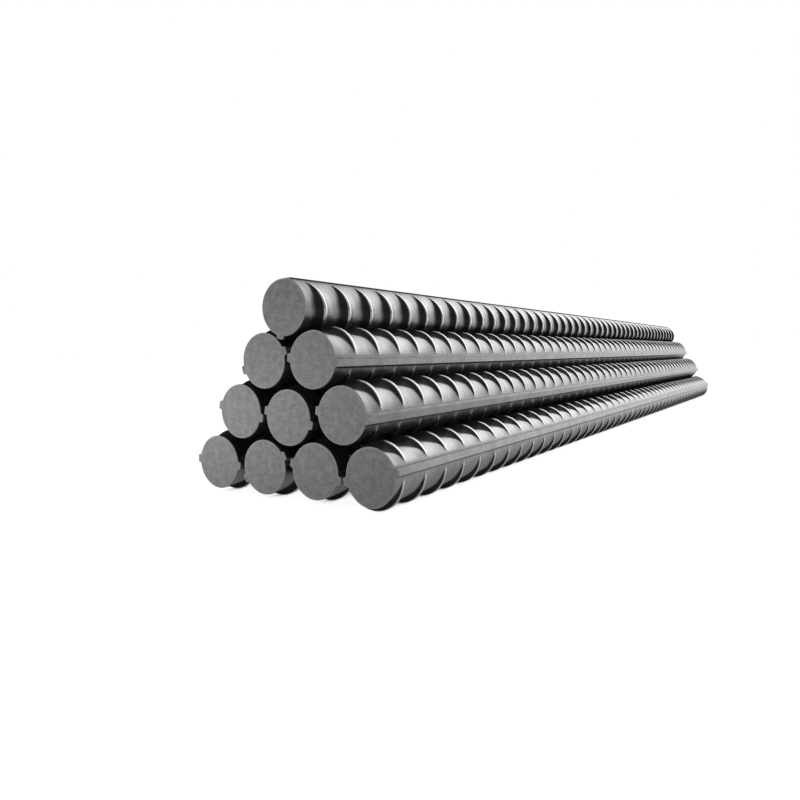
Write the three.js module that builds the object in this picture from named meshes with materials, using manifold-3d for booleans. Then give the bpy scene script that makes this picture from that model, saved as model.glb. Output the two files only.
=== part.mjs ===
import * as THREE from 'three';
import { mergeVertices } from 'three/addons/utils/BufferGeometryUtils.js';
import Module from 'manifold-3d';

// Ten hot-rolled ribbed reinforcing bars of one length, piled four, three, two and one.
// Millimetres, +Z up. The bars run along Y, and the origin is on the floor under the
// middle of the pile.
//
// A bar is a round core with two flat-topped spines down its sides and slanting crescent
// ribs across its upper and lower halves. As on a drawing of a thread, the crescent ribs
// are shown by the surface that their crests share: bars touch there, and nowhere lower.

// One bar, of 32 mm nominal size
const barLength = 1000;
const coreDiameter = 31;
const crescentHeight = 2.7;
const crescentFade = THREE.MathUtils.degToRad(30);
const crescentEndGap = 5;
const spineHeight = 1.9;
const spineTopWidth = 4.2;
const spineFootWidth = 5.4;
const arcSegments = 14;

// The pile
const bottomRowGap = 1.3;
const seatGap = 0.3;
const settleSteps = 60;

// Each bar lies as it rolled: the slope in degrees of the line through its two spines,
// seen along +Y from the left of the row to the right.
const rows = [
  { name: 'bottom_row', slopes: [-4.5, 27, -13, 13] },
  { name: 'second_row', slopes: [-12, -13, -7] },
  { name: 'third_row', slopes: [19, -5] },
  { name: 'top', slopes: [80] },
];

const coreRadius = coreDiameter / 2;
const widestDiameter = coreDiameter + 2 * Math.max(crescentHeight, spineHeight);

// The bars of the bottom row lie almost spine to spine.
const bottomPitch = coreDiameter + 2 * spineHeight + bottomRowGap;

const steel = new THREE.MeshStandardMaterial({
  name: 'hot_rolled_steel',
  color: 0x6e6c69,
  roughness: 0.42,
  metalness: 0.85,
});

const wasm = await Module();
wasm.setup();

// The round core with a spine on its left and on its right.
function coreSection() {
  const footAngle = Math.asin(spineFootWidth / 2 / coreRadius);
  const spineReach = coreRadius + spineHeight;
  const shape = new THREE.Shape();
  shape.absarc(0, 0, coreRadius, footAngle, Math.PI - footAngle, false);
  shape.lineTo(-spineReach, spineTopWidth / 2);
  shape.lineTo(-spineReach, -spineTopWidth / 2);
  shape.absarc(0, 0, coreRadius, Math.PI + footAngle, 2 * Math.PI - footAngle, false);
  shape.lineTo(spineReach, -spineTopWidth / 2);
  shape.lineTo(spineReach, spineTopWidth / 2);
  shape.closePath();
  return shape;
}

// The crests of the crescent ribs: two arcs that stand crescentHeight above the core at
// its top and bottom, and run out on the core at crescentFade from the spines.
function crestSection() {
  const crestReach = coreRadius + crescentHeight;
  const fadeX = coreRadius * Math.cos(crescentFade);
  const fadeY = coreRadius * Math.sin(crescentFade);
  const rise = (crestReach ** 2 - coreRadius ** 2) / (2 * (crestReach - fadeY));
  const crestRadius = crestReach - rise;
  const startAngle = Math.atan2(fadeY - rise, fadeX);
  const shape = new THREE.Shape();
  shape.absarc(0, rise, crestRadius, startAngle, Math.PI - startAngle, false);
  shape.absarc(0, -rise, crestRadius, Math.PI + startAngle, 2 * Math.PI - startAngle, false);
  shape.closePath();
  return shape;
}

function prism(section, fromEnd) {
  const depth = barLength - 2 * fromEnd;
  const geometry = new THREE.ExtrudeGeometry(section, {
    depth,
    bevelEnabled: false,
    curveSegments: arcSegments,
  });
  return geometry.translate(0, 0, -depth / 2);
}

function toSolid(geometry) {
  geometry.deleteAttribute('normal');
  geometry.deleteAttribute('uv');
  const merged = mergeVertices(geometry);
  return new wasm.Manifold(new wasm.Mesh({
    numProp: 3,
    vertProperties: merged.attributes.position.array,
    triVerts: new Uint32Array(merged.index.array),
  }));
}

function toGeometry(solid) {
  const mesh = solid.getMesh();
  const geometry = new THREE.BufferGeometry();
  geometry.setAttribute('position', new THREE.BufferAttribute(mesh.vertProperties, 3));
  geometry.setIndex(new THREE.BufferAttribute(mesh.triVerts, 1));
  geometry.computeVertexNormals();
  return geometry;
}

// The edges of both sections of a bar that is turned by slope and stands at place.
function edgesOf(bar) {
  return [coreSection(), crestSection()].flatMap((section) => {
    const corners = section.getPoints(arcSegments).map((corner) => corner
      .rotateAround(new THREE.Vector2(), bar.slope)
      .add(bar.place));
    return corners.map((corner, i) => [corner, corners[(i + 1) % corners.length]]);
  });
}

function distanceToEdge(point, [start, end]) {
  const along = end.clone().sub(start);
  const share = point.clone().sub(start).dot(along) / Math.max(along.lengthSq(), 1e-12);
  const nearest = start.clone().addScaledVector(along, THREE.MathUtils.clamp(share, 0, 1));
  return nearest.distanceTo(point);
}

function gapBetween(bar, other) {
  const edges = edgesOf(bar);
  const otherEdges = edgesOf(other);
  const nearestOf = (points, lines) => Math.min(...points.map(
    ([point]) => Math.min(...lines.map((line) => distanceToEdge(point, line))),
  ));
  return Math.min(nearestOf(edges, otherEdges), nearestOf(otherEdges, edges));
}

// A bar of the bottom row stands with the lowest point of its crests on the floor.
function standOnFloor(bar) {
  const lowest = Math.min(...edgesOf(bar).map(([corner]) => corner.y));
  bar.place.y -= lowest;
}

// A bar above is let down until it sits on both bars below it. Each step moves it no
// farther than the space that is left, so that it comes to rest without cutting in.
function settle(bar, left, right) {
  for (let step = 0; step < settleSteps; step += 1) {
    const leftSpace = gapBetween(bar, left) - seatGap;
    const rightSpace = gapBetween(bar, right) - seatGap;
    bar.place.x += (rightSpace - leftSpace) / 2;
    bar.place.y -= Math.min(leftSpace, rightSpace);
  }
}

function layRow(row, below) {
  return row.slopes.map((slopeDegrees, i) => {
    const bar = {
      name: row.slopes.length > 1 ? `${row.name}_bar_${i + 1}` : `${row.name}_bar`,
      slope: THREE.MathUtils.degToRad(slopeDegrees),
      place: new THREE.Vector2(i * bottomPitch, 0),
    };
    if (below.length === 0) {
      standOnFloor(bar);
    } else {
      bar.place.addVectors(below[i].place, below[i + 1].place).divideScalar(2);
      bar.place.y += widestDiameter;
      settle(bar, below[i], below[i + 1]);
    }
    return bar;
  });
}

function layPile() {
  const laid = [];
  let below = [];
  for (const row of rows) {
    below = layRow(row, below);
    laid.push(...below);
  }
  return laid;
}

const barGeometry = toGeometry(
  toSolid(prism(coreSection(), 0)).add(toSolid(prism(crestSection(), crescentEndGap))),
);
const pile = layPile();
const corners = pile.flatMap(edgesOf).map(([corner]) => corner.x);
const middle = (Math.min(...corners) + Math.max(...corners)) / 2;

// The pile is laid out as its end view, in X and Y, and then tipped so that the bars run
// along Y and the view's up is the pile's up.
const bundle = new THREE.Group();
bundle.name = 'rebar_bundle';
bundle.rotation.x = Math.PI / 2;
for (const bar of pile) {
  const mesh = new THREE.Mesh(barGeometry, steel);
  mesh.name = bar.name;
  mesh.position.set(bar.place.x - middle, bar.place.y, 0);
  mesh.rotation.z = bar.slope;
  bundle.add(mesh);
}

export default bundle;
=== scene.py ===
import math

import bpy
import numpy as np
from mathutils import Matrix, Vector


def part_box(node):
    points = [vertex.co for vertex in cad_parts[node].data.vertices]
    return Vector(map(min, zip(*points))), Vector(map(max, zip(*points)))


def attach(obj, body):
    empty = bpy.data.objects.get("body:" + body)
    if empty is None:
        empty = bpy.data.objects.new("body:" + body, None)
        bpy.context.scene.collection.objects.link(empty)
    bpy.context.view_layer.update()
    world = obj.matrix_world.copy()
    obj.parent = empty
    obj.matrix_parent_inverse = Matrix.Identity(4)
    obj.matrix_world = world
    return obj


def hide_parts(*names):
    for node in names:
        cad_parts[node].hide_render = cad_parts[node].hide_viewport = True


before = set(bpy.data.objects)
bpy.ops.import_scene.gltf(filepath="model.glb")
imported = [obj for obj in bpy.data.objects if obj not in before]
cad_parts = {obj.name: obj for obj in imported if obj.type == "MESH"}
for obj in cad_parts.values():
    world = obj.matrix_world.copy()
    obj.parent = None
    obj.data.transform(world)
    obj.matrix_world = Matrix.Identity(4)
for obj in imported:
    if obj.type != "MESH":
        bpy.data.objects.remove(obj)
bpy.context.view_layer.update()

# %% [markdown]
# # A pile of ribbed reinforcing bars
# Reinforcing bar is rolled hot. A billet of steel runs between grooved rolls, which leave a
# round core, a straight flat-topped spine down each side, and between the spines two rows
# of slanting crescent ribs that grip the concrete. The bars cool in air to a dark skin, are
# sawn to length, and lie here four, three, two and one, each row in the hollows below.
#
# The packed model already holds each bar as a plain prism in its place. One way to add the
# ribs would be a bump in the material, but ribs this tall show in the outline and shade one
# another, so each bar is made again as a real ribbed surface that fits round its prism.

MM = 0.001

# %% [markdown]
# ## Where the bars lie
# Nothing is placed by eye. A prism's outline is the same after half a turn, so the middle
# of its box lies on its axis. On the sawn end the corners of the two spines stand farthest
# out, and the way they lie tells how far the bar has rolled. An angle and its opposite mean
# the same roll, so the angles are doubled, averaged as directions, and halved again.

# %% Measure each bar
# On most bars the ribs meet at the right-hand spine in arrows that point to the far end.
# This one lies the other way round.
TURNED_OVER = {"top_bar"}
END_SLACK = 0.1 * MM
TIP_SLACK = 0.05 * MM


def measure_bar(name):
    """Centre, length, roll and radii of one bar, read from the corners of its prism."""
    low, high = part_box(name)
    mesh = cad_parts[name].data
    corners = np.empty(len(mesh.vertices) * 3, np.float32)
    mesh.vertices.foreach_get("co", corners)
    corners = corners.reshape(-1, 3).astype(float)
    centre = (np.array(low) + np.array(high)) / 2
    section = (corners - centre)[:, [0, 2]]
    radius = np.hypot(*section.T)
    on_end = corners[:, 1] < low.y + END_SLACK
    tip_radius = radius[on_end].max()
    tips = section[on_end & (radius > tip_radius - TIP_SLACK)]
    doubled = 2 * np.arctan2(tips[:, 1], tips[:, 0])
    roll = math.atan2(np.sin(doubled).mean(), np.cos(doubled).mean()) / 2
    if name in TURNED_OVER:
        roll += math.pi
    return {
        "name": name,
        "centre": centre,
        "length": high.y - low.y,
        "roll": roll,
        "core": radius[on_end].min(),
        "crest": radius.max(),
        "tip": tip_radius,
    }


bars = [measure_bar(name) for name in sorted(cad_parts)]
for bar in bars:
    print(bar["name"], "axis at", (bar["centre"][[0, 2]] / MM).round(2),
          "roll", round(math.degrees(bar["roll"]), 1))

# %% [markdown]
# ## The section
# Cut between two ribs, a bar shows a circle with a low spine on each side. The rolls leave
# no sharp corner, so the spine's edges are rounded and its foot runs out in a hollow. Only
# a quarter is worked out. The rest is its mirror image, which keeps the section true.
# On one bar the billet didn't fill the groove, and one spine came out as a low ramp.
#
# The prism's crests are two arcs that fall away from their middle faster than a real rib
# does. A bar can lie on the shoulder of its ribs, and ribs as tall as the prism would pass
# through the floor there, so the crests here are a little lower.

# %% Section of core and spines
CORE = min(bar["core"] for bar in bars)
SHOULDER_ROOM = 0.11 * MM
CREST = max(bar["crest"] for bar in bars) - SHOULDER_ROOM
SPINE_TOP = 4.2 * MM
SPINE_FOOT = 5.4 * MM
SPINE_REACH = math.sqrt(max(bar["tip"] for bar in bars) ** 2 - (SPINE_TOP / 2) ** 2)
SPINE_EDGE = 0.25 * MM
SPINE_HOLLOW = 0.6 * MM
# The flat top has a column of points just inside each rounded edge, so that it shades flat.
INSIDE_EDGE = 1.4 * SPINE_EDGE
# Where the circle's arc starts, in radians from the spine's middle line.
ARC_START = 0.26
ARC_STEPS = 15


def round_corner(before, corner, after, reach, steps=3):
    """Points of a rounded corner: the quadratic curve that leaves the line before the
    corner and joins the line past it, both at the distance reach from the corner."""
    before, corner, after = (np.array(point, float) for point in (before, corner, after))
    start = corner + (before - corner) * reach / np.linalg.norm(before - corner)
    end = corner + (after - corner) * reach / np.linalg.norm(after - corner)
    t = np.linspace(0, 1, steps)[:, None]
    return (1 - t) ** 2 * start + 2 * t * (1 - t) * corner + t**2 * end


def section_outline():
    """Outline of core and spines as (x, z) rows, anticlockwise from the right-hand spine:
    half the spine's flat top, its rounded edge, its flank, the hollow at its foot, and the
    circle's arc x = core cos a, z = core sin a up to the top, then the mirror images."""
    middle = (SPINE_REACH, 0)
    edge = (SPINE_REACH, SPINE_TOP / 2)
    foot = (math.sqrt(CORE**2 - (SPINE_FOOT / 2) ** 2), SPINE_FOOT / 2)
    angle = np.linspace(ARC_START, math.pi / 2, ARC_STEPS)
    arc = CORE * np.stack([np.cos(angle), np.sin(angle)], 1)
    edge_points = round_corner(middle, edge, foot, SPINE_EDGE)
    foot_points = round_corner(edge, foot, arc[0], SPINE_HOLLOW, 4)
    inside = (SPINE_REACH, SPINE_TOP / 2 - INSIDE_EDGE)
    quarter = np.vstack([[middle], [inside], edge_points, foot_points, arc])
    half = np.vstack([quarter, (quarter * [-1, 1])[-2::-1]])
    return np.vstack([half, (half * [1, -1])[-2:0:-1]])


outline = section_outline()
outline_angle = np.arctan2(outline[:, 1], outline[:, 0])
outline_radius = np.hypot(*outline.T)
columns = len(outline)
SHORT_SPINE = {"top_bar"}
SHORT_EDGE, SHORT_END = math.radians(-7), math.radians(13)
# The ramp's dull finish starts a little before its first edge.
SHORT_LEAD = 0.05


def bar_outline(bar):
    """The section's radius in each column. Where the billet didn't fill the groove, the
    left-hand spine is only a ramp: on the far side of its first edge its radius is that of
    the line that touches the core at SHORT_END, core / cos (angle - SHORT_END)."""
    if bar["name"] not in SHORT_SPINE:
        return outline_radius
    from_spine = (outline_angle % (2 * math.pi)) - math.pi
    ramp = CORE / np.cos(from_spine - SHORT_END)
    before = np.minimum(outline_radius, ramp)
    radius = np.where(from_spine < SHORT_EDGE, before, ramp)
    return np.where(np.abs(from_spine) < SHORT_END, radius, outline_radius)


def short_share(bar, angle):
    """1 on the ramp of a short spine and 0 elsewhere."""
    from_spine = (angle % (2 * math.pi)) - math.pi
    on_ramp = (from_spine > SHORT_EDGE - SHORT_LEAD) & (from_spine < SHORT_END)
    return on_ramp * (bar["name"] in SHORT_SPINE)


print("core radius", round(CORE / MM, 2), "spine reach", round(SPINE_REACH / MM, 2),
      "crest radius", round(CREST / MM, 2), "mm;", columns, "points round the section")

# %% [markdown]
# ## The crescent ribs
# A rib is tallest midway between the spines and dies away just before it reaches them, so
# that seen from the end it is a crescent with long thin horns. Cut through along the bar, it
# has a flat top and hollow flanks. Both are plain functions, one of the angle round the bar
# and one of the distance along it, so that the whole surface is a grid of numbers and needs
# no modelling by hand.

# %% Rib formulas
PITCH = 22.1 * MM
LEAN = 6.4 * MM
BOW = 1.2 * MM
FADE = math.radians(14)
HORN_POWER = 1.3
HORN_SHARE = 0.10
HORN_TIP = math.radians(13), math.radians(24)
RIB_TOP = 1.6 * MM
FLANK_RATIO = 2.4
FLANK_HOLLOW = 1.4
LEAST_FLANK = 0.5 * MM


def crest_height(angle):
    """Height of the crests over the core at an angle from the spine, in radians. A low even
    horn carries a hump of sin(pi t) to a power, where t runs from 0 to 1 between the fades,
    and the horn's tip sinks into the core with the smooth step u² (3 - 2 u)."""
    away = np.abs(angle)
    away = np.minimum(away, math.pi - away)
    t = np.clip((away - FADE) / (math.pi - 2 * FADE), 0, 1)
    u = np.clip((away - HORN_TIP[0]) / (HORN_TIP[1] - HORN_TIP[0]), 0, 1)
    hump = np.sin(math.pi * t) ** HORN_POWER
    share = HORN_SHARE + (1 - HORN_SHARE) * hump
    return (CREST - CORE) * share * u**2 * (3 - 2 * u)


def flank_length(height):
    """How far a flank reaches along the bar from the rib's top edge to its foot."""
    return np.maximum(height * FLANK_RATIO, LEAST_FLANK)


def rib_profile(offset, height):
    """Height of the surface at an offset along the bar from a rib's middle line: the crest
    height over the flat top, then height (1 - u) to the power FLANK_HOLLOW down the hollow
    flank, where u runs from 0 at the top's edge to 1 at the foot."""
    u = np.clip((np.abs(offset) - RIB_TOP / 2) / flank_length(height), 0, 1)
    return height * (1 - u) ** FLANK_HOLLOW


crest = crest_height(outline_angle)
print("crests up to", round(crest.max() / MM, 2), "mm over the core")

# %% [markdown]
# ## Where each bar was cut
# The two rolls aren't geared to each other, so the ribs of one half start a little before
# those of the other, and each bar is sawn wherever its length happens to end. The table
# gives both starts for each bar, in shares of the rib spacing. A rib at the cut would swell
# the outline of the sawn end, so all but two of the starts keep it clear of the near cut.

# %% Starts of the two rows of ribs
RIB_STARTS = {
    "bottom_row_bar_1": (0.36, 0.45),
    "bottom_row_bar_2": (0.45, 0.46),
    "bottom_row_bar_3": (0.31, 0.44),
    "bottom_row_bar_4": (0.266, 0.037),
    "second_row_bar_1": (0.40, 0.24),
    "second_row_bar_2": (0.29, 0.42),
    "second_row_bar_3": (0.382, 0.30),
    "third_row_bar_1": (0.37, 0.47),
    "third_row_bar_2": (0.575, 0.40),
    "top_bar": (0.47, 0.32),
}


def rib_middle(bar, angle):
    """Place along the bar of one rib's middle line at each angle from the spine: near cut
    + start + lean (1 - |a| / pi) + bow sin² a. The start passes from the upper row's to the
    lower row's across the spines, where there is no rib."""
    upper, lower = RIB_STARTS[bar["name"]]
    lower_share = np.clip(0.5 - np.sin(angle) / (2 * math.sin(FADE / 2)), 0, 1)
    start = (upper + (lower - upper) * lower_share) * PITCH
    slant = LEAN * (1 - np.abs(angle) / math.pi) + BOW * np.sin(angle) ** 2
    return -bar["length"] / 2 + start + slant


print("a rib leans", round(LEAN / MM, 1), "mm from one spine to the other")

# %% [markdown]
# ## The rolled surface
# The grid's columns run along the bar and its rows run round it. If the rows went straight
# round, a slanting rib would cross them as a staircase, so each row follows the ribs
# instead. Five rows down each flank are enough for a smooth hollow, and the flat core
# between two ribs needs only one.

# %% Grid of the rolled surface
FLANK_STEPS = np.array([0, 0.16, 0.37, 0.65, 1.0])
# The skin ends this far before the sawn face, where the burr's bevel starts.
BURR = 0.45 * MM


def rolled_rows(bar):
    """Place along the bar and height over the core for every row and column. Along =
    a rib's middle line + the row's own offset + a whole number of pitches."""
    down_flank = RIB_TOP / 2 + FLANK_STEPS[:, None] * flank_length(crest)
    between = np.full_like(crest, PITCH / 2)
    offset = np.vstack([-down_flank[::-1], down_flank, between])
    count = math.ceil((bar["length"] + LEAN) / PITCH) + 3
    pitches = (np.arange(count) - 2) * PITCH
    along = rib_middle(bar, outline_angle) + offset + pitches[:, None, None]
    rise = np.broadcast_to(rib_profile(offset, crest), along.shape)
    return along.reshape(-1, columns), rise.reshape(-1, columns)


def rise_at_cut(bar, cut):
    """Height of the rolled surface over the core in each column, exactly at a cut."""
    from_middle = cut - rib_middle(bar, outline_angle)
    from_nearest = (from_middle + PITCH / 2) % PITCH - PITCH / 2
    return rib_profile(from_nearest, crest)


print("rows along a bar:", len(rolled_rows(bars[0])[0]))
for bar in bars:
    swelling = rise_at_cut(bar, BURR - bar["length"] / 2).max()
    print(bar["name"], "swells by", round(swelling / MM, 2), "mm at the near cut")

# %% [markdown]
# ## Sawing
# A boolean cut would work but leaves long thin faces. Since the rows are numbers, those
# past the cut are moved back onto it, and the ones that then coincide are left out. A saw
# leaves a narrow bevelled burr round the edge, and inside it the flat sawn face, which is
# made of rings that close in one point.
#
# Where two bars rest on each other their ribs can lie in the same place. Under the weight
# they flatten a little there, so both surfaces give way until a thin gap is left.

# %% Points and faces of one bar
BURR_BAND = 0.35 * MM
CLEARANCE = 0.1 * MM
FACE_RINGS = (0.66, 0.33)
after = np.roll(np.arange(columns), -1)


def cut_rows(bar):
    """Grid points between the two cuts, for each row and column the index of the point it
    stands for, so that rows past a cut share the point on the cut's edge, and the points'
    heights over the core."""
    along, rise = rolled_rows(bar)
    cut = bar["length"] / 2 - BURR
    near, far = along <= -cut, along >= cut
    rise = np.where(near, rise_at_cut(bar, -cut), np.where(far, rise_at_cut(bar, cut), rise))
    radius = bar_outline(bar) + rise
    points = np.stack([radius * np.cos(outline_angle), np.clip(along, -cut, cut),
                       radius * np.sin(outline_angle)], -1)
    first = near.sum(0) - 1
    last = len(along) - far.sum(0)
    row = np.clip(np.arange(len(along))[:, None], first, last)
    return points, row * columns + np.arange(columns), rise


def place(bar, points):
    """Turns points about the bar's axis by its roll and moves them to where it lies."""
    cosine, sine = math.cos(bar["roll"]), math.sin(bar["roll"])
    x = points[..., 0] * cosine - points[..., 2] * sine
    z = points[..., 0] * sine + points[..., 2] * cosine
    return np.stack([x, points[..., 1], z], -1) + bar["centre"]


def pressed_in(bar, points):
    """The points, moved towards the bar's axis by half of what they lack to lie CLEARANCE
    outside the outline of every other bar's crests. The other bar gives way by the rest."""
    placed = place(bar, points)
    lacking = np.zeros(points.shape[:-1])
    for other in bars:
        if other is not bar:
            x, _, z = np.moveaxis(placed - other["centre"], -1, 0)
            crests = np.interp(np.arctan2(z, x) - other["roll"], outline_angle,
                               bar_outline(other) + crest, period=2 * math.pi)
            lacking = np.maximum(lacking, CLEARANCE - (np.hypot(x, z) - crests))
    share = 1 - lacking / 2 / np.hypot(points[..., 0], points[..., 2])
    return points * np.stack([share, np.ones_like(share), share], -1)


def skin_faces(index):
    """Squares between neighbouring rows and columns. Where one side of a square is folded
    together at a cut a triangle is left, and where both are, nothing."""
    near, far = index[:-1], index[1:]
    squares = np.stack([near, far, far[:, after], near[:, after]], -1).reshape(-1, 4)
    own_folded = squares[:, 0] == squares[:, 1]
    next_folded = squares[:, 2] == squares[:, 3]
    return (squares[~own_folded & ~next_folded],
            squares[own_folded & ~next_folded][:, 1:],
            squares[~own_folded & next_folded][:, :3])


def end_rings(rim, end):
    """Rings of the sawn end, from the rolled skin inwards: the burr's bevel, a narrow band
    beside it, and rings at shares of the radius. All lie in the plane of the end."""
    radius = np.hypot(rim[:, 0], rim[:, 2])[:, None]
    shares = [1 - BURR / radius, 1 - (BURR + BURR_BAND) / radius]
    shares += [np.full_like(radius, share) for share in FACE_RINGS]
    rings = np.stack([rim * share for share in shares])
    rings[..., 1] = end
    return rings


top_grid = cut_rows(bars[-1])[0]
given = np.linalg.norm(top_grid - pressed_in(bars[-1], top_grid), axis=-1).max()
print(bars[-1]["name"], "gives way in its seat by up to", round(given / MM, 2), "mm")

# %% [markdown]
# ## One closed mesh
# The skin and the two ends could be separate meshes, but a bar is one solid piece of steel,
# so they share the points along the cuts. Each face also says which finish it has.

# %% Put a bar together
SKIN, SAWN = 0, 1


def end_faces(rim_index, base, rings, facing):
    """Squares from ring to ring and triangles round the middle point, turned outwards."""
    index = np.vstack([rim_index, base + np.arange(rings * columns).reshape(rings, columns)])
    squares = np.stack([index[:-1], index[1:], index[1:][:, after], index[:-1][:, after]], -1)
    centre = np.full(columns, base + rings * columns)
    triangles = np.stack([index[-1], centre, index[-1][after]], -1)
    return squares.reshape(-1, 4)[:, ::facing], triangles[:, ::facing]


def bar_mesh(bar):
    """One closed mesh: the rolled skin between the cuts and the two sawn ends."""
    grid, index, rise = cut_rows(bar)
    grid = pressed_in(bar, grid)
    squares, own_fold, next_fold = skin_faces(index)
    points = [grid.reshape(-1, 3)]
    height = [rise.ravel()]
    edge = [np.zeros(grid.shape[0] * columns)]
    fours, threes = [squares], [own_fold, next_fold]
    base = grid.shape[0] * columns
    for rim_index, end, facing in ((index[0], -bar["length"] / 2, -1),
                                   (index[-1], bar["length"] / 2, 1)):
        rings = end_rings(points[0][rim_index], end)
        new_fours, new_threes = end_faces(rim_index, base, len(rings), facing)
        fours.append(new_fours)
        threes.append(new_threes)
        points += [rings.reshape(-1, 3), np.array([[0, end, 0]])]
        ring_edge = np.repeat([1.0] + [0.0] * (len(rings) - 1), columns)
        edge += [ring_edge, np.zeros(1)]
        height += [np.zeros(len(ring_edge) + 1)]
        edge[0][rim_index] = 1
        base += len(rings) * columns + 1
    points, height, edge = np.vstack(points), np.concatenate(height), np.concatenate(edge)

    sizes = np.repeat([4, 3], [sum(map(len, fours)), sum(map(len, threes))])
    # The skin's faces are the first part of the squares and the first two of the triangles.
    on_sawn = [k > 0 for k in range(len(fours))] + [k > 1 for k in range(len(threes))]
    finish = np.repeat(np.where(on_sawn, SAWN, SKIN), [len(part) for part in fours + threes])
    loops = np.concatenate([part.ravel() for part in fours + threes])
    used, loops = np.unique(loops, return_inverse=True)
    return points[used], height[used], edge[used], loops, sizes, finish


print("points of the first bar:", len(bar_mesh(bars[0])[0]))

# %% [markdown]
# ## Where shade is painted
# Shade is painted in the near corner of each rib, where the rib's own shadow falls, and the
# corner gets wider as the rib gets taller. It also fills the whole valley where another bar or
# the floor is close. Since the bars are straight, how far it reaches depends only on the
# angle round the bar, so one number on each point of the surface is enough, and the
# material works out the edge of the painted shade from it.

# %% Reach of the painted shade
RIB_SHADE_FROM, RIB_SHADE_TO = math.radians(12), math.radians(70)
RIB_SHADE_MOST = 0.42 * PITCH
RIB_SHADE_LEAST = 0.3 * MM
WHOLE_VALLEY = 1.1 * PITCH
# Two distances each: where the painted shade near a bar or the floor is full, and where it
# ends.
BAR_PAINTED_SHADE = 8.5 * MM, 16.5 * MM
FLOOR_PAINTED_SHADE = 2 * MM, 8 * MM
# The same for the painted shade of the seat under a bar.
SEAT_PAINTED_SHADE = 2.5 * MM, 7.5 * MM


def ease(value, low, high):
    """The smooth step u² (3 - 2 u) from 0 at low to 1 at high."""
    u = np.clip((value - low) / (high - low), 0, 1)
    return u**2 * (3 - 2 * u)


def gap_above(bar, placed):
    """Distance from each point to the crests of the nearest bar that lies higher up."""
    gap = np.ones(len(placed))
    for other in bars:
        if other["centre"][2] > bar["centre"][2] + CORE / 2:
            from_axis = np.hypot(*(placed - other["centre"])[:, [0, 2]].T)
            gap = np.minimum(gap, from_axis - CREST)
    return gap


def painted_shade_reach(bar, placed, angle):
    """How far the painted shade reaches along the bar, on the near side of a rib, from the
    rib's middle line. It grows evenly with the angle from the spine, and under another bar or
    beside the floor it fills the whole valley. Also how far a point lies in the seat itself,
    from 0 to 1, which is painted as shade."""
    away = np.abs(angle)
    away = np.minimum(away, math.pi - away)
    open_reach = RIB_SHADE_MOST * np.clip((away - RIB_SHADE_FROM) / (RIB_SHADE_TO - RIB_SHADE_FROM), 0, 1)
    above = gap_above(bar, placed)
    in_shade = 1 - np.minimum(ease(above, *BAR_PAINTED_SHADE), ease(placed[:, 2], *FLOOR_PAINTED_SHADE))
    reach = open_reach + (WHOLE_VALLEY - open_reach) * in_shade
    return np.maximum(reach, RIB_SHADE_LEAST), 1 - ease(above, *SEAT_PAINTED_SHADE)


# In the printed text, scale means the painted shade.
print("in the open scale reaches up to", round(RIB_SHADE_MOST / MM, 1), "mm from a middle line")

# %% [markdown]
# ## The finished bars
# Each bar becomes one object, already in its place. Its points carry what the materials
# need to know: how high on a rib they lie, where they lie along the ribs, how far the painted
# shade reaches, how deep they lie in a seat, and whether they lie on a spine's upper side, on
# the ramp or on the burr.

# %% Make the bars
SHARP = math.radians(38)
LEAST_CREST = 0.001 * MM


def store(mesh, name, values):
    """Keeps one number for each point of a mesh."""
    mesh.attributes.new(name, "FLOAT", "POINT").data.foreach_set(
        "value", np.asarray(values, np.float32))


def upper_side_of_spine(bar, points, placed, height):
    """1 on the side face of a spine that looks upwards as the bar lies, and 0 elsewhere."""
    across = np.abs(points[:, 2])
    angle = np.arctan2(points[:, 2], points[:, 0])
    on_side = (across > SPINE_TOP / 2 - SPINE_EDGE) & (across < SPINE_FOOT / 2 + SPINE_HOLLOW)
    on_side &= (np.abs(np.sin(angle)) < math.sin(ARC_START)) & (height == 0)
    middle = np.stack([np.sign(points[:, 0]) * SPINE_REACH, points[:, 1], 0 * across], 1)
    return on_side & (placed[:, 2] > place(bar, middle)[:, 2])


def make_bar(bar):
    """The finished object, with the values that its materials read from its points."""
    points, height, edge, loops, sizes, finish = bar_mesh(bar)
    name = bar["name"] + "_rolled"
    mesh = bpy.data.meshes.new(name)
    mesh.vertices.add(len(points))
    placed = place(bar, points)
    mesh.vertices.foreach_set("co", placed.astype(np.float32).ravel())
    mesh.loops.add(len(loops))
    mesh.loops.foreach_set("vertex_index", loops.astype(np.int32))
    mesh.polygons.add(len(sizes))
    mesh.polygons.foreach_set("loop_start", (np.cumsum(sizes) - sizes).astype(np.int32))
    mesh.polygons.foreach_set("material_index", finish.astype(np.int32))
    mesh.polygons.foreach_set("use_smooth", np.ones(len(sizes), bool))
    mesh.update(calc_edges=True)
    mesh.set_sharp_from_angle(angle=SHARP)
    angle = np.arctan2(points[:, 2], points[:, 0])
    lay = points.copy()
    lay[:, 1] -= rib_middle(bar, angle)
    crest_here = crest_height(angle)
    climb = (height / np.maximum(crest_here, LEAST_CREST)) ** (1 / FLANK_HOLLOW)
    # The painted shade's reach along the bar and its share in a seat.
    reach, seated = painted_shade_reach(bar, placed, angle)
    store(mesh, "painted_shade_reach", reach / PITCH)
    store(mesh, "seated", seated)
    store(mesh, "short_spine", short_share(bar, angle))
    store(mesh, "ledge", upper_side_of_spine(bar, points, placed, height))
    store(mesh, "rib_climb", np.clip(climb, 0, 1))
    store(mesh, "rib_size", crest_here / (CREST - CORE))
    store(mesh, "sawn_edge", edge)
    mesh.attributes.new("rib_lay", "FLOAT_VECTOR", "POINT").data.foreach_set(
        "vector", lay.astype(np.float32).ravel())
    piece = bpy.data.objects.new(name, mesh)
    bpy.context.scene.collection.objects.link(piece)
    return piece


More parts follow.
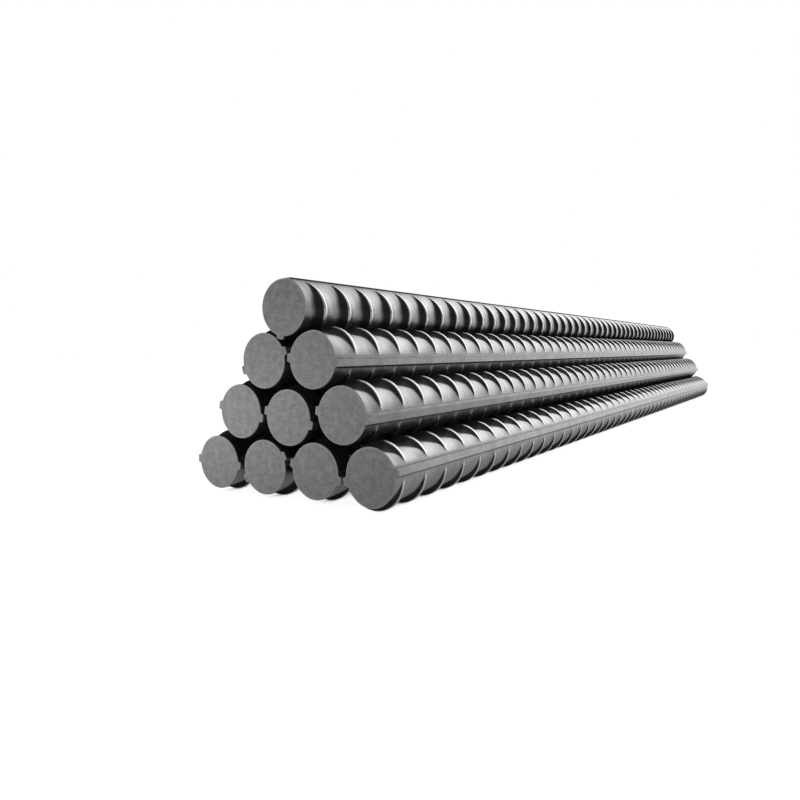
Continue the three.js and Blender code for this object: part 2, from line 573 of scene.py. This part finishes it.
def triangles(piece):
    """How many triangles an object's faces come to: a face of n corners makes n - 2."""
    return len(piece.data.loops) - 2 * len(piece.data.polygons)


pieces = {}
for bar in bars:
    piece = make_bar(bar)
    pieces[bar["name"]] = piece
    print(piece.name, triangles(piece), "triangles")
print("all bars:", sum(map(triangles, pieces.values())), "triangles")

# %% [markdown]
# ## Shader tools
# A finish is easier to read as a sum than as a drawing of nodes. A Wire is one output of a
# node, and adding or multiplying it adds the Math node that does so. Every other node comes
# from one method that takes its kind, its settings, and what goes into its sockets.


# %% Wire and Finish
NOISE_LOW, NOISE_HIGH = 0.3, 0.7
GRAIN_STRENGTH = 0.3
GRAIN_DEPTH = 0.1 * MM
STEEL_WARMTH = 0.012


class Wire:
    """An output socket that can be added, subtracted and multiplied."""

    def __init__(self, finish, socket):
        self.finish = finish
        self.socket = socket

    def math(self, operation, first, second):
        """Adds the Math node for one operation on two values."""
        return self.finish.node("ShaderNodeMath", {"operation": operation},
                                {0: first, 1: second})

    def __add__(self, other):
        return self.math("ADD", self, other)

    def __sub__(self, other):
        return self.math("SUBTRACT", self, other)

    def __rsub__(self, other):
        return self.math("SUBTRACT", other, self)

    def __mul__(self, other):
        return self.math("MULTIPLY", self, other)

    __radd__ = __add__
    __rmul__ = __mul__


class Finish:
    """The nodes of a material or of the world, while they are being put together."""

    def __init__(self, owner):
        owner.use_nodes = True
        self.owner = owner
        self.tree = owner.node_tree
        self.tree.nodes.clear()

    def node(self, kind, settings=None, sockets=None, output=0):
        """Adds a node, sets its settings, then fills its sockets, and returns an output."""
        made = self.tree.nodes.new(kind)
        for name, value in (settings or {}).items():
            setattr(made, name, value)
        for name, value in (sockets or {}).items():
            if isinstance(value, Wire):
                self.tree.links.new(value.socket, made.inputs[name])
            else:
                made.inputs[name].default_value = value
        return Wire(self, made.outputs[output]) if made.outputs else None

    def noise(self, vector, scale, detail=2.0, roughness=0.5):
        """Soft random blotches of a size of about 1 / scale metres, and of values that hardly
        go below NOISE_LOW or above NOISE_HIGH."""
        return self.node("ShaderNodeTexNoise", {}, {
            "Vector": vector, "Scale": scale, "Detail": detail, "Roughness": roughness})

    def spread(self, value, low, high, to_low=0.0, to_high=1.0):
        """Maps low..high to another range, held at its ends and without a kink there."""
        return self.node("ShaderNodeMapRange", {"interpolation_type": "SMOOTHSTEP"}, {
            "Value": value, "From Min": low, "From Max": high,
            "To Min": to_low, "To Max": to_high})

    def part(self, vector, axis):
        """One of the three numbers of a vector."""
        return self.node("ShaderNodeSeparateXYZ", {}, {0: vector}, axis)

    def wrapped(self, value):
        """What is left of a value past the last whole number below it."""
        return self.node("ShaderNodeMath", {"operation": "FLOORED_MODULO"}, {0: value, 1: 1.0})

    def ratio(self, value, by):
        """One value divided by another."""
        return self.node("ShaderNodeMath", {"operation": "DIVIDE"}, {0: value, 1: by})

    def exponential(self, value):
        """e to the power of a value."""
        return self.node("ShaderNodeMath", {"operation": "EXPONENT"}, {0: value})

    def blend(self, factor, first, second):
        """A colour that goes from first to second as the factor goes from 0 to 1."""
        return self.node("ShaderNodeMix", {"data_type": "RGBA"},
                         {0: factor, 6: first, 7: second}, 2)

    def stored(self, name, output="Fac"):
        """A value that was stored on the points of the mesh."""
        return self.node("ShaderNodeAttribute", {"attribute_name": name}, {}, output)

    def place(self):
        """Where a point lies in the object, in metres."""
        return self.node("ShaderNodeTexCoord", output="Object")

    def stretched(self, vector, along_each):
        """The vector with its three numbers scaled each in its own way."""
        return self.node("ShaderNodeVectorMath", {"operation": "MULTIPLY"},
                         {0: vector, 1: along_each})

    def grained(self, relief):
        """The surface's direction under a fine relief, whose 0 and 1 are GRAIN_DEPTH apart."""
        return self.node("ShaderNodeBump", {}, {
            "Strength": GRAIN_STRENGTH, "Distance": GRAIN_DEPTH, "Height": relief})


def grey(value, warmth=0.0):
    """A neutral colour, or a slightly warm one."""
    return (value * (1 + warmth), value, value * (1 - warmth), 1.0)


def steel_grey(value):
    """A grey as warm as that of bare steel."""
    return grey(value, STEEL_WARMTH)


print("tools of a finish:", [name for name in vars(Finish) if not name.startswith("_")])

# %% [markdown]
# ## Mill skin
# Steel that cools in air grows a thin dark oxide. It is smoother than rust and shines
# softly, with cloudy patches, fine pits, and faint streaks that follow the ribs, where the
# turned groove of the roll has printed itself. The streaks read the bar's own coordinates,
# in which a rib lies straight, and the clouds and pits read the object's, so that no two
# bars look alike. A pattern's scale is about one over the size of its blotches in metres.

# %% Patterns of the skin
CLOUDS, MOTTLE, PITS = 90, 420, 1900
STREAKS = 70, 1500, 70
skin = Finish(bpy.data.materials.new("mill_skin"))
where = skin.place()
lay = skin.stored("rib_lay", "Vector")
clouds = skin.noise(where, CLOUDS, detail=3)
mottle = skin.noise(where, MOTTLE, detail=3, roughness=0.6)
streaks = skin.noise(skin.stretched(lay, STREAKS), scale=1, detail=2, roughness=0.6)
pits = skin.noise(where, PITS, detail=2, roughness=0.6)
tone = 0.25 * clouds + 0.25 * mottle + 0.3 * streaks + 0.2 * pits
relief = 0.5 * pits + 0.3 * mottle + 0.2 * streaks
print("skin patterns:", len(skin.tree.nodes), "nodes")

# %% [markdown]
# ## Light crests and painted shade
# The crests are given a light tone, partly as steel rubbed bright by handling and partly as a
# painted highlight, but not where they lie in a seat. Painted shade lies in a seat, and where
# the middle line of the next rib ahead is nearer than the stored reach. Both could be painted
# on a picture, but as masks, which are 0 where there is none, they follow the ribs by
# themselves. The light crests go before the painted shade, and the ramp of the short spine
# gets some of the matt dark too.

# %% Masks of the skin
RIB_FROM, RIB_FULL = 0.03, 0.15
CREST_FROM, CREST_FULL = 0.84, 0.96
PAINTED_SHADE_FULL, PAINTED_SHADE_GONE = 0.55, 1.15
RAMP_MATT_DARK = 0.45
is_rib = skin.spread(skin.stored("rib_size"), RIB_FROM, RIB_FULL)
seated = skin.stored("seated")
# The crest tops get a light tone: steel rubbed bright, and partly a painted highlight.
rubbed_and_highlight = is_rib * skin.spread(skin.stored("rib_climb"), CREST_FROM, CREST_FULL)
rubbed_and_highlight = rubbed_and_highlight - rubbed_and_highlight * seated
ahead = skin.wrapped(-1 / PITCH * skin.part(lay, "Y"))
of_reach = skin.ratio(ahead, skin.stored("painted_shade_reach"))
# Painted shade: the near corner of each rib and the seat, matt and almost black.
painted_shade_and_ramp = is_rib * (1 - skin.spread(of_reach, PAINTED_SHADE_FULL, PAINTED_SHADE_GONE)) + seated
painted_shade_and_ramp = painted_shade_and_ramp - painted_shade_and_ramp * rubbed_and_highlight
ramp = skin.stored("short_spine")
painted_shade_and_ramp = painted_shade_and_ramp + RAMP_MATT_DARK * ramp - RAMP_MATT_DARK * ramp * painted_shade_and_ramp
print("with the masks:", len(skin.tree.nodes), "nodes")

# %% [markdown]
# ## Colours of the skin
# A metallic shader gives the oxide its soft shine. It is darker on the upper sides of the
# spines and on the ramp. The painted shade is matt and almost black. Dark metal would still
# shine there when seen at a low angle, as all metal does, so the painted shade is a second
# shader without any shine, and the mask mixes the two.

# %% Colours and shaders of the skin
TONE_LOW, TONE_HIGH = 0.40, 0.60
SKIN_DARK, SKIN_LIGHT = 0.38, 0.58
LEDGE_TONE, RAMP_TONE, RUBBED_HIGHLIGHT_TONE, PAINTED_SHADE_TONE = 0.15, 0.1, 0.9, 0.03
LEDGE_SHARE, RAMP_SHARE, PAINTED_SHADE_SHARE = 0.7, 0.9, 0.95
METALLIC = 0.95
ROUGH, ROUGH_SWING = 0.37, 0.05
PAINTED_SHADE_ROUGH, RUBBED_HIGHLIGHT_ROUGH, RAMP_ROUGH = -0.08, -0.10, 0.4
PAINTED_SHADE_ROUGHNESS = 0.9
base = skin.blend(skin.spread(tone, TONE_LOW, TONE_HIGH),
                  steel_grey(SKIN_DARK), steel_grey(SKIN_LIGHT))
base = skin.blend(LEDGE_SHARE * skin.stored("ledge"), base, steel_grey(LEDGE_TONE))
base = skin.blend(RAMP_SHARE * ramp, base, steel_grey(RAMP_TONE))
# The crests' light tone is partly a painted highlight.
base = skin.blend(rubbed_and_highlight, base, steel_grey(RUBBED_HIGHLIGHT_TONE))
rough = skin.spread(mottle, NOISE_LOW, NOISE_HIGH, ROUGH - ROUGH_SWING, ROUGH + ROUGH_SWING)
rough = rough + PAINTED_SHADE_ROUGH * painted_shade_and_ramp + RUBBED_HIGHLIGHT_ROUGH * rubbed_and_highlight + RAMP_ROUGH * ramp
grained = skin.grained(relief)
oxide = skin.node("ShaderNodeBsdfPrincipled", {}, {
    "Base Color": base, "Metallic": METALLIC, "Roughness": rough, "Normal": grained})
# A matt, almost black shader that paints shade.
painted_shade_matt = skin.node("ShaderNodeBsdfPrincipled", {}, {
    "Base Color": steel_grey(PAINTED_SHADE_TONE), "Metallic": 0.0, "Roughness": PAINTED_SHADE_ROUGHNESS,
    "Specular IOR Level": 0.0, "Normal": grained})
dressed = skin.node("ShaderNodeMixShader", {}, {
    0: PAINTED_SHADE_SHARE * painted_shade_and_ramp, 1: oxide, 2: painted_shade_matt})
skin.node("ShaderNodeOutputMaterial", {}, {"Surface": dressed})
print("mill skin:", len(skin.tree.nodes), "nodes")

# %% [markdown]
# ## Sawn ends
# An abrasive saw leaves a flat face of bare steel that has dulled: a fine mottled grain,
# faint arcs of the blade, and a torn burr round the edge, whose light tone is partly a
# painted highlight. The face scatters light more than the skin does, so it is only partly
# metallic.

# %% Sawn ends
BLOTCHES, GRAIN = 260, 1500
ARCS = 160, 0, 2200
SAWN_DARK, SAWN_LIGHT, BURR_HIGHLIGHT_TONE = 0.23, 0.39, 0.6
SAWN_METALLIC, SAWN_ROUGH = 0.3, 0.5
sawn = Finish(bpy.data.materials.new("sawn_end"))
where = sawn.place()
blotches = sawn.noise(where, BLOTCHES, detail=3, roughness=0.6)
grain = sawn.noise(where, GRAIN, detail=3, roughness=0.65)
arcs = sawn.noise(sawn.stretched(where, ARCS), scale=1, detail=2, roughness=0.6)
tone = 0.36 * blotches + 0.42 * grain + 0.22 * arcs
base = sawn.blend(sawn.spread(tone, TONE_LOW, TONE_HIGH),
                  steel_grey(SAWN_DARK), steel_grey(SAWN_LIGHT))
# The burr's light tone is partly a painted highlight along the sawn edge.
base = sawn.blend(sawn.stored("sawn_edge"), base, steel_grey(BURR_HIGHLIGHT_TONE))
bare_steel = sawn.node("ShaderNodeBsdfPrincipled", {}, {
    "Base Color": base, "Metallic": SAWN_METALLIC, "Roughness": SAWN_ROUGH,
    "Normal": sawn.grained(0.6 * grain + 0.4 * arcs)})
sawn.node("ShaderNodeOutputMaterial", {}, {"Surface": bare_steel})
print("sawn end:", len(sawn.tree.nodes), "nodes")

# %% [markdown]
# ## Dressing the bars
# The faces already carry the number of their finish, so each bar only needs the two
# materials in that order. It rides on the pile's one body and takes its prism's place.

# %% Dress the bars
for name, piece in pieces.items():
    piece.data.materials.append(skin.owner)
    piece.data.materials.append(sawn.owner)
    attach(piece, "root")
    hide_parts(name)
print("bars dressed:", len(pieces))

# %% [markdown]
# ## Studio
# Steel has hardly any colour of its own. It shows the room, so the room is what has to be
# lit. One strong soft light stands behind the pile and a little above: seen from the sawn
# ends the core and the crests mirror it and the corners of the ribs don't, which draws
# every rib. Four weaker ones light the sawn ends and both sides. Each is a soft patch of
# the world, a strength times exp(spread (cosine of the angle to its middle - 1)), because
# lamps would make hard spots along the crests.
#
# The room and the floor are white to the camera, through Light Path, and that white puts no
# light on the steel. To mirrors they show the lights and the dark between them. White to
# mirrors as well, they would wash out the lower half of every bar.

# %% The room's lights
# Each light: azimuth from +Y towards +X and elevation in degrees, strength, and spread.
SOFT_LIGHTS = [(4, 20, 2.1, 9), (-130, 0, 0.2, 3), (150, 15, 0.12, 6),
               (105, 45, 0.3, 3), (-90, 35, 0.4, 3)]
ROOM = 0.015


def room_strength(finish, way):
    """How bright the room is in a direction: the even dark plus every soft light."""
    strength = ROOM
    for azimuth, elevation, power, narrow in SOFT_LIGHTS:
        middle = (Matrix.Rotation(math.radians(-azimuth), 3, "Z")
                  @ Matrix.Rotation(math.radians(elevation), 3, "X") @ Vector((0, 1, 0)))
        cosine = finish.node("ShaderNodeVectorMath", {"operation": "DOT_PRODUCT"},
                             {0: way, 1: middle}, "Value")
        strength = finish.exponential(narrow * cosine - narrow) * power + strength
    return strength


print("soft lights:", len(SOFT_LIGHTS))

# %% [markdown]
# ## Floor
# A sheet of pale card, so wide that its edge isn't seen. Where hardly any of the sky is
# open to it, under the pile, it loses its white, which keeps the pile's shadow. Seen in a
# mirror it glows with a painted reflection of the room's lights, strong at a low angle and
# faint when seen steeply, over a faint even glow.

# %% Floor
FLOOR_REACH = 30
FLOOR_COLOUR = 0.5
FLOOR_GLOW = 0.93
SHEEN_LOW, SHEEN_STEEP, STEEP = 1.0, 0.25, 0.25
MIRROR_GLOW = 0.15
SHADE_REACH = 18 * MM
SHADE_SAMPLES = 24
SHADED, UNSHADED = 0.02, 0.12
floor_mesh = bpy.data.meshes.new("floor")
floor_corners = [(-FLOOR_REACH, -FLOOR_REACH, 0), (FLOOR_REACH, -FLOOR_REACH, 0),
                 (FLOOR_REACH, FLOOR_REACH, 0), (-FLOOR_REACH, FLOOR_REACH, 0)]
floor_mesh.from_pydata(floor_corners, [], [(0, 1, 2, 3)])
floor = bpy.data.objects.new("floor", floor_mesh)
bpy.context.scene.collection.objects.link(floor)
pale = Finish(bpy.data.materials.new("pale_floor"))
seen = pale.node("ShaderNodeLightPath", output="Is Camera Ray")
mirrored = pale.node("ShaderNodeLightPath", output="Is Glossy Ray")
openness = pale.node("ShaderNodeAmbientOcclusion", {"samples": SHADE_SAMPLES},
                     {"Distance": SHADE_REACH}, "AO")
white = FLOOR_GLOW * pale.spread(openness, SHADED, UNSHADED)
# The way in which a ray comes down on the floor. At a low angle it is nearly the way in
# which it would leave the floor again, so the room's lights are looked up in it.
back = pale.node("ShaderNodeNewGeometry", output="Incoming")
way = pale.stretched(back, (-1, -1, -1))
sheen = pale.spread(pale.part(back, "Z"), 0.0, STEEP, SHEEN_LOW, SHEEN_STEEP)
reflected = sheen * room_strength(pale, way) + MIRROR_GLOW
painted = pale.node("ShaderNodeBsdfDiffuse", {}, {"Color": grey(FLOOR_COLOUR)})
glow = pale.node("ShaderNodeEmission", {}, {
    "Color": white * seen + mirrored * reflected, "Strength": 1.0})
both = pale.node("ShaderNodeAddShader", {}, {0: painted, 1: glow})
pale.node("ShaderNodeOutputMaterial", {}, {"Surface": both})
floor_mesh.materials.append(pale.owner)
print("floor:", len(pale.tree.nodes), "nodes")

# %% [markdown]
# ## World
# The room itself, drawn by the same formula that the floor reads. No colours are bent on
# the way to the screen, so a grey shows as it is written.

# %% World
scene = bpy.context.scene
scene.view_settings.view_transform = "Standard"
world = bpy.data.worlds.new("studio")
scene.world = world
room = Finish(world)
strength = room_strength(room, room.node("ShaderNodeTexCoord", output="Generated"))
seen = room.node("ShaderNodeLightPath", output="Is Camera Ray")
light = room.node("ShaderNodeBackground", {}, {
    "Color": grey(1.0), "Strength": strength + seen * (1.0 - strength)})
room.node("ShaderNodeOutputWorld", {}, {"Surface": light})
print("world:", len(room.tree.nodes), "nodes")

# %% [markdown]
# ## Side lamp
# The sawn ends face away from the strong light and would all have one tone. A small low
# lamp to their left makes those near it lighter than the others and shows their grain.

# %% Side lamp
LAMP_FROM = Vector((-0.30, -0.75, 0.025))
LAMP_AT = Vector((0, -0.5, 0.05))
LAMP_SIZE = 0.25, 0.04
LAMP_WATTS = 0.29
lamp_data = bpy.data.lights.new("side_lamp", "AREA")
lamp_data.shape = "RECTANGLE"
lamp_data.size, lamp_data.size_y = LAMP_SIZE
lamp_data.energy = LAMP_WATTS
lamp = bpy.data.objects.new("side_lamp", lamp_data)
lamp.location = LAMP_FROM
lamp.rotation_euler = (LAMP_AT - LAMP_FROM).to_track_quat("-Z", "Y").to_euler()
lamp.visible_camera = False
scene.collection.objects.link(lamp)
print("side lamp:", LAMP_WATTS, "W")

# %% [markdown]
# ## Camera
# Close to the sawn ends and low, with a wide lens, so that the bars run away steeply. The
# turn is about Z from the view along +Y, the tilt is from the horizon, and the roll is about
# the line of sight. The focal length is in pixels of a square picture.

# %% Camera
SENSOR = 36
VIEW_FROM = Vector((249.5, -780.7, 79.5)) * MM
VIEW_TURN, VIEW_TILT, VIEW_ROLL = 32.23, -3.77, -0.79
FOCAL_PIXELS = 684.3
IMAGE_PIXELS = 800
camera_data = bpy.data.cameras.new("camera")
camera_data.sensor_width = SENSOR
camera_data.lens = camera_data.sensor_width * FOCAL_PIXELS / IMAGE_PIXELS
camera = bpy.data.objects.new("camera", camera_data)
scene.collection.objects.link(camera)
camera.matrix_world = (Matrix.Translation(VIEW_FROM)
                       @ Matrix.Rotation(math.radians(VIEW_TURN), 4, "Z")
                       @ Matrix.Rotation(math.radians(90 + VIEW_TILT), 4, "X")
                       @ Matrix.Rotation(math.radians(VIEW_ROLL), 4, "Z"))
scene.camera = camera
print("lens:", round(camera_data.lens, 1), "mm")

# %% [markdown]
